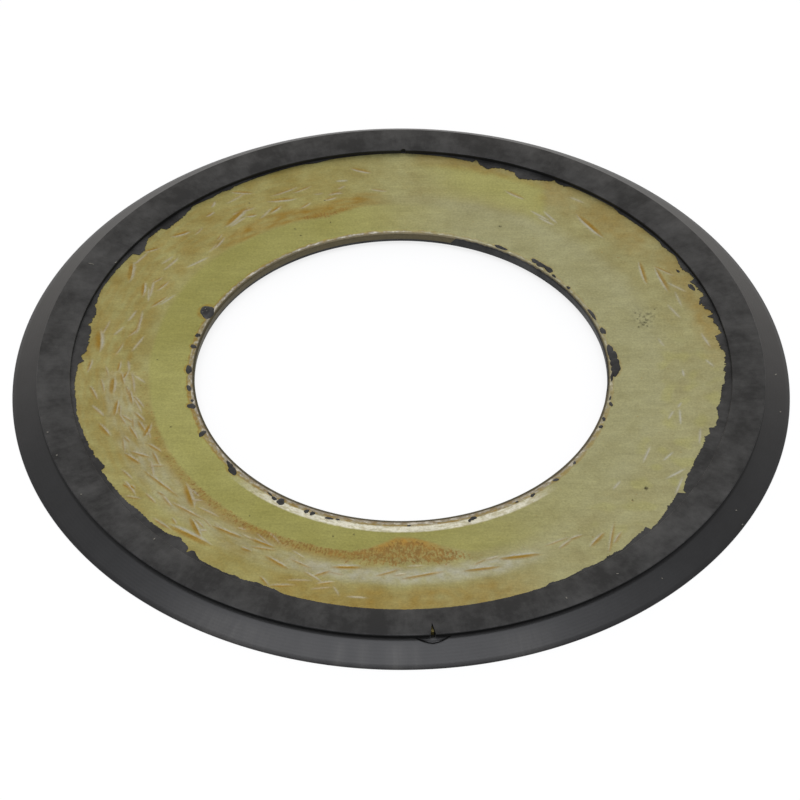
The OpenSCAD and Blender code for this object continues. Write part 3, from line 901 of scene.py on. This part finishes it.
def passivated_steel():
    """Zinc-plated, yellow-passivated sheet: a satin metal with a green to tan film, stains and wear, and
    painted shade and highlight at the bore.
    """
    material, tree, shader, where = blank("yellow_passivated_zinc_steel")
    mix = {"data_type": "RGBA", "clamp_factor": True}
    step = {"interpolation_type": "SMOOTHSTEP"}
    drops, _ = polar(tree, where, middle=38.0, draw=1.8)
    edging, _ = polar(tree, where, middle=31.0, draw=0.45)
    speck = add(tree, "TexNoise", {"Vector": where, "Scale": grain(0.35), "Detail": 4.0, "Roughness": 0.65})
    cloud = add(tree, "TexNoise", {"Vector": where, "Scale": grain(4.0), "Detail": 5.0, "Roughness": 0.6})
    mottle = add(tree, "TexNoise", {"Vector": where, "Scale": grain(1.1), "Detail": 5.0, "Roughness": 0.65})
    kernel = add(tree, "TexNoise", {"Vector": drops, "Scale": grain(0.32), "Detail": 3.0, "Roughness": 0.6})
    fleck = add(tree, "TexNoise", {"Vector": edging, "Scale": grain(0.95), "Detail": 3.0, "Roughness": 0.6})
    layers = {name: add(tree, "Attribute", attribute_name=name).outputs["Fac"] for name in (
        "green_film", "pale_film", "orange_wash", "brown_grains", "worn_zinc", "bare_edge", "rubbed_edge_highlight",
        "bore_wall_shade", "pit_dirt_and_wall_shade", "amber_wash", "light_film")}

    # Film colours, broken up by soft clouds
    drift = add(tree, "MapRange", {0: cloud.outputs["Fac"], 1: 0.35, 2: 0.65, 3: 0.0, 4: 1.0})
    tan_film = add(tree, "Mix", {0: drift.outputs[0], 6: tone("#8B824D"), 7: tone("#999562")}, **mix)
    khaki = add(tree, "Mix", {0: drift.outputs[0], 6: tone("#928F6C"), 7: tone("#9B9977")}, **mix)
    green = add(tree, "Mix", {0: layers["light_film"], 6: tone("#8D8A4F"), 7: tone("#9D9B62")}, **mix)
    film = add(tree, "Mix", {0: layers["pale_film"], 6: tan_film.outputs[2], 7: khaki.outputs[2]}, **mix)
    film = add(tree, "Mix", {0: layers["green_film"], 6: film.outputs[2], 7: green.outputs[2]}, **mix)

    # Worn zinc, the soft orange wash and the amber top of the dome
    for name, colour in (("worn_zinc", "#A8A89C"), ("orange_wash", "#8A6E2C"), ("amber_wash", "#9F7D3C")):
        film = add(tree, "Mix", {0: layers[name], 6: film.outputs[2], 7: tone(colour)}, **mix)

    # Grains of brown corrosion: the layer says how many of them show
    many = add(tree, "Math", {0: layers["brown_grains"], 1: 0.5, 2: kernel.outputs["Fac"]},
               operation="MULTIPLY_ADD")
    shown = add(tree, "MapRange", {0: many.outputs[0], 1: 0.64, 2: 0.84, 3: 0.0, 4: 0.8}, **step)
    rust = add(tree, "MapRange", {0: mottle.outputs["Fac"], 1: 0.35, 2: 0.65, 3: 0.0, 4: 1.0})
    rust = add(tree, "Mix", {0: rust.outputs[0], 6: tone("#775930"), 7: tone("#8C6C38")}, **mix)
    film = add(tree, "Mix", {0: shown.outputs[0], 6: film.outputs[2], 7: rust.outputs[2]}, **mix)

    # Bore edge: grey zinc with brown and bright flecks, the near band rubbed bare under a painted
    # highlight, painted shade on the wall; dirt in pits
    worn = add(tree, "MapRange", {0: fleck.outputs["Fac"], 1: 0.38, 2: 0.5, 3: 0.3, 4: 1.0}, **step)
    edge = add(tree, "Mix", {0: worn.outputs[0], 6: tone("#7C6638"), 7: tone("#928C7E")}, **mix)
    bright = add(tree, "MapRange", {0: fleck.outputs["Fac"], 1: 0.54, 2: 0.64, 3: 0.0, 4: 0.8}, **step)
    edge = add(tree, "Mix", {0: bright.outputs[0], 6: edge.outputs[2], 7: tone("#C2BEB2")}, **mix)
    film = add(tree, "Mix", {0: layers["bare_edge"], 6: film.outputs[2], 7: edge.outputs[2]}, **mix)
    # Painted highlight: white on the die roll's band on the near side, over the zinc rubbed bare there
    white = add(tree, "MapRange", {0: fleck.outputs["Fac"], 1: 0.36, 2: 0.58, 3: 0.55, 4: 1.0}, **step)
    white = add(tree, "Math", {0: white.outputs[0], 1: layers["rubbed_edge_highlight"]}, operation="MULTIPLY")
    film = add(tree, "Mix", {0: white.outputs[0], 6: film.outputs[2], 7: tone("#CDCBBA")}, **mix)
    # Painted shade on the bore wall and the near wall's edge, with dirt in the pits and the smudge
    for name, colour in (("bore_wall_shade", "#5C5543"), ("pit_dirt_and_wall_shade", "#45412F")):
        film = add(tree, "Mix", {0: layers[name], 6: film.outputs[2], 7: tone(colour)}, **mix)

    # Speckle of the etched plating, drawn coarser than it is, blotches and the rolled grain along X
    level = add(tree, "MapRange", {0: speck.outputs["Fac"], 1: 0.3, 2: 0.7, 3: 0.87, 4: 1.13})
    blotch = add(tree, "MapRange", {0: mottle.outputs["Fac"], 1: 0.3, 2: 0.7, 3: 0.94, 4: 1.06})
    rolled = add(tree, "Mapping", {"Vector": where, "Scale": (0.15, 1, 1)})
    sheet = add(tree, "TexNoise",
                {"Vector": rolled.outputs[0], "Scale": grain(0.7), "Detail": 3.0, "Roughness": 0.6})
    sheet = add(tree, "MapRange", {0: sheet.outputs["Fac"], 1: 0.3, 2: 0.7, 3: 0.94, 4: 1.06})
    level = add(tree, "Math", {0: level.outputs[0], 1: blotch.outputs[0]}, operation="MULTIPLY")
    level = add(tree, "Math", {0: level.outputs[0], 1: sheet.outputs[0]}, operation="MULTIPLY")
    base = add(tree, "Mix", {0: 1.0, 6: film.outputs[2], 7: level.outputs[0]}, blend_type="MULTIPLY", **mix)
    tree.links.new(base.outputs[2], shader.inputs["Base Color"])
    shader.inputs["Metallic"].default_value = 1.0
    gloss = add(tree, "MapRange", {0: mottle.outputs["Fac"], 1: 0.3, 2: 0.7, 3: 0.46, 4: 0.58})
    tree.links.new(gloss.outputs[0], shader.inputs["Roughness"])
    rough = add(tree, "Bump", {"Strength": 0.3, "Distance": 0.02 * MM, "Height": speck.outputs["Fac"]})
    tree.links.new(rough.outputs[0], shader.inputs["Normal"])
    return material


def nitrile_rubber():
    """Moulded black nitrile rubber: dark satin skin, greyed by bloom, by dust and by painted sheen, turned
    lines on the lip.
    """
    material, tree, shader, where = blank("moulded_nitrile_rubber")
    mix = {"data_type": "RGBA", "clamp_factor": True}
    rays, radius = polar(tree, where, middle=BAND_OUT_R, draw=6.0)
    height = add(tree, "SeparateXYZ", {0: where}).outputs["Z"]
    dust_and_sheen = add(tree, "Attribute", attribute_name="dust_and_sheen").outputs["Fac"]

    # Soft steps that tell the lip, the notch and the band's inner wall by their radius and height
    steps = {}
    for name, value, low, high, first, last in (
        ("on_lip", radius, BAND_OUT_R - 0.05, BAND_OUT_R + 0.05, 0.0, 1.0),
        ("past_rim", radius, PLATE_R + 0.1, PLATE_R + 0.2, 0.0, 1.0),
        ("inside_lip", radius, BAND_OUT_R - 0.05, BAND_OUT_R + 0.1, 1.0, 0.0),
        ("on_wall", radius, BAND_IN_R + 0.02, BAND_IN_R + 0.08, 1.0, 0.0),
        ("over_flash", height, FACE_Z + 0.07, FACE_Z + 0.11, 0.0, 1.0),
        ("under_top", height, TOP_Z - 0.2, TOP_Z - BAND_EDGE_R, 1.0, 0.0),
    ):
        ends = {0: value, 1: low * MM, 2: high * MM, 3: first, 4: last}
        steps[name] = add(tree, "MapRange", ends).outputs[0]
    lip = steps["on_lip"]

    # Bloom in soft clouds, with fine streaks along the radius on the band and turned lines on the lip
    turned, _ = polar(tree, where, middle=LIP_R, draw=0.08)
    lines = add(tree, "TexNoise", {"Vector": turned, "Scale": grain(3.0), "Detail": 2.0, "Roughness": 0.5})
    streak = add(tree, "TexNoise", {"Vector": rays, "Scale": grain(0.6), "Detail": 3.0, "Roughness": 0.6})
    bloom = add(tree, "TexNoise", {"Vector": where, "Scale": grain(4.5), "Detail": 7.0, "Roughness": 0.68})
    skin = add(tree, "TexNoise", {"Vector": where, "Scale": grain(0.3), "Detail": 3.0, "Roughness": 0.6})
    marks = add(tree, "Mix", {0: lip, 2: streak.outputs["Fac"], 3: lines.outputs["Fac"]})
    both = add(tree, "Math", {0: marks.outputs[0], 1: 0.15, 2: bloom.outputs["Fac"]},
               operation="MULTIPLY_ADD")
    shift = add(tree, "Attribute", attribute_name="bloom").outputs["Fac"]
    shift = add(tree, "MapRange", {0: shift, 1: 0.0, 2: 1.0, 3: -0.07, 4: 0.16})
    both = add(tree, "Math", {0: both.outputs[0], 1: shift.outputs[0]}, operation="ADD")
    patch = add(tree, "MapRange", {0: both.outputs[0], 1: 0.44, 2: 0.8, 3: 0.0, 4: 1.0}).outputs[0]

    # Greyer on the band than on the lip; painted shade, black with less sheen, in the notch, on the band's
    # inner wall and the flap's edge
    band = add(tree, "Mix", {0: patch, 6: tone("#040404"), 7: tone("#212120")}, **mix)
    clean = add(tree, "Mix", {0: patch, 6: tone("#060607"), 7: tone("#121213")}, **mix)
    # Dust and painted sheen: pale streaks across the lip
    dust_and_sheen_streaks = add(tree, "Math", {0: dust_and_sheen, 1: streak.outputs["Fac"]}, operation="MULTIPLY")
    clean = add(tree, "Mix", {0: dust_and_sheen_streaks.outputs[0], 6: clean.outputs[2], 7: tone("#85827C")}, **mix)
    base = add(tree, "Mix", {0: lip, 6: band.outputs[2], 7: clean.outputs[2]}, **mix)
    # Painted shade in the notch under the band and on the band's inner wall
    recess_shade = add(tree, "Math", {0: steps["inside_lip"], 1: steps["past_rim"]}, operation="MULTIPLY")
    wall = add(tree, "Math", {0: steps["on_wall"], 1: steps["over_flash"]}, operation="MULTIPLY")
    recess_shade = add(tree, "Math", {0: recess_shade.outputs[0], 1: wall.outputs[0]}, operation="MAXIMUM")
    recess_shade = add(tree, "Math", {0: recess_shade.outputs[0], 1: steps["under_top"]}, operation="MULTIPLY")
    recess_shade = recess_shade.outputs[0]
    base = add(tree, "Mix", {0: recess_shade, 6: base.outputs[2], 7: tone("#0A0A0A")}, **mix)
    # Painted shade: the flap's outer edge near black
    torn = add(tree, "Attribute", attribute_name="torn").outputs["Fac"]
    base = add(tree, "Mix", {0: torn, 6: base.outputs[2], 7: tone("#030303")}, **mix)
    tree.links.new(base.outputs[2], shader.inputs["Base Color"])
    shader.inputs["IOR"].default_value = 1.5
    sheen = add(tree, "MapRange", {0: patch, 1: 0.0, 2: 1.0, 3: 0.32, 4: 0.6})
    sheen = add(tree, "Mix", {0: lip, 2: sheen.outputs[0], 3: 0.46})
    # Less sheen where the recesses carry painted shade
    sheen = add(tree, "Mix", {0: recess_shade, 2: sheen.outputs[0], 3: 0.35})
    # Little sheen in the painted shade of the flap's edge
    sheen = add(tree, "Mix", {0: torn, 2: sheen.outputs[0], 3: 0.1})
    tree.links.new(sheen.outputs[0], shader.inputs["Specular IOR Level"])
    gloss = add(tree, "MapRange", {0: lip, 1: 0.0, 2: 1.0, 3: 0.54, 4: 0.42})
    tree.links.new(gloss.outputs[0], shader.inputs["Roughness"])

    # Moulded grain, drawn coarser than it is, with fine turned lines on the lip
    phase = add(tree, "Math", {0: radius, 1: 2 * math.pi * grain(0.45)}, operation="MULTIPLY")
    wave = add(tree, "Math", {0: phase.outputs[0]}, operation="SINE")
    ridge = add(tree, "Math", {0: wave.outputs[0], 1: lip}, operation="MULTIPLY")
    relief = add(tree, "Math", {0: ridge.outputs[0], 1: 0.25, 2: skin.outputs["Fac"]},
                 operation="MULTIPLY_ADD")
    rough = add(tree, "Bump", {"Strength": 0.25, "Distance": 0.02 * MM, "Height": relief.outputs[0]})
    tree.links.new(rough.outputs[0], shader.inputs["Normal"])
    return material


def cotton_lint():
    """Cotton lint: pale dull fibres, greyed by dust."""
    material, tree, shader, where = blank("cotton_lint")
    fibre = add(tree, "TexNoise", {"Vector": where, "Scale": grain(0.2), "Detail": 2.0})
    shade = add(tree, "Mix", {0: fibre.outputs["Fac"], 6: tone("#4C4A44"), 7: tone("#7E7B71")},
                data_type="RGBA")
    tree.links.new(shade.outputs[2], shader.inputs["Base Color"])
    shader.inputs["Roughness"].default_value = 0.9
    return material


def smooth_shade(piece, angle):
    """Smooth shading that keeps edges sharper than an angle."""
    bpy.ops.object.select_all(action="DESELECT")
    piece.select_set(True)
    bpy.context.view_layer.objects.active = piece
    bpy.ops.object.shade_smooth_by_angle(angle=math.radians(angle))


def studio():
    """Pale floor that shows white and keeps the ring's soft shadow, lamp, world and camera."""
    scene = bpy.context.scene
    scene.view_settings.view_transform = "Standard"
    bpy.ops.object.select_all(action="DESELECT")
    bpy.ops.mesh.primitive_plane_add(size=6, location=(0, 0, 0))
    floor = bpy.context.object
    floor.name = "floor"
    material, tree, shader, _ = blank("white_paper_floor")
    shader.inputs["Base Color"].default_value = tone("#F0F0F0")
    shader.inputs["Roughness"].default_value = 0.9
    shader.inputs["Specular IOR Level"].default_value = 0.0

    # White to the camera and in reflections, with a fifth of the floor's own shade for the shadow
    path = add(tree, "LightPath")
    seen = path.outputs["Is Camera Ray"]
    for ray in ("Is Glossy Ray", "Is Transmission Ray"):
        seen = add(tree, "Math", {0: seen, 1: path.outputs[ray]}, operation="MAXIMUM").outputs[0]
    share = add(tree, "Math", {0: seen, 1: 0.8}, operation="MULTIPLY")
    white = add(tree, "Emission", {"Color": (1, 1, 1, 1), "Strength": 1.0})
    both = add(tree, "MixShader", {0: share.outputs[0], 1: shader.outputs[0], 2: white.outputs[0]})
    tree.links.new(both.outputs[0], tree.nodes["Material Output"].inputs["Surface"])
    floor.data.materials.append(material)

    # Even world, a little brighter and warmer low at the back
    world = bpy.data.worlds.new("studio")
    scene.world = world
    world.use_nodes = True
    tree = world.node_tree
    way = add(tree, "SeparateXYZ", {0: add(tree, "TexCoord").outputs["Generated"]})
    back = add(tree, "MapRange", {0: way.outputs["Y"], 1: 0.5, 2: 0.95, 3: 0.0, 4: 1.0},
               interpolation_type="SMOOTHSTEP")
    tint = add(tree, "Mix", {0: back.outputs[0], 6: (0.58, 0.58, 0.59, 1), 7: (1.45, 1.37, 1.28, 1)},
               data_type="RGBA")
    sky = tree.nodes["Background"]
    tree.links.new(tint.outputs[2], sky.inputs["Color"])
    sky.inputs["Strength"].default_value = 1.0

    lamp = bpy.data.lights.new("overhead_softbox", "AREA")
    lamp.shape = "RECTANGLE"
    lamp.size = 0.9
    lamp.size_y = 0.6
    lamp.energy = 6.0
    lamp.color = (0.94, 0.95, 1.0)
    softbox = bpy.data.objects.new("overhead_softbox", lamp)
    softbox.location = (-0.06, -0.12, 0.9)
    scene.collection.objects.link(softbox)

    camera_data = bpy.data.cameras.new("photo_camera")
    camera_data.lens = CAMERA_LENS
    camera_data.sensor_width = 36.0
    camera = bpy.data.objects.new("photo_camera", camera_data)
    tilt = math.radians(CAMERA_ELEVATION)
    camera.location = (0, -CAMERA_DISTANCE * math.cos(tilt), CAMERA_DISTANCE * math.sin(tilt))
    aim = Vector(CAMERA_AIM) - camera.location
    camera.rotation_euler = aim.to_track_quat("-Z", "Y").to_euler()
    scene.collection.objects.link(camera)
    scene.camera = camera


scratches = fine_scratches(random.Random(SEED))
plate = gouged_plate(scratches)
paint_finish(plate, list(GOUGES) + scratches)
plate.data.materials.clear()
plate.data.materials.append(passivated_steel())
smooth_shade(plate, 25)
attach(plate, "root")
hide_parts("steel_plate")

ring = moulded_ring(nitrile_rubber(), cotton_lint())
smooth_shade(ring, 30)
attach(ring, "root")
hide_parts("rubber_ring")

studio()
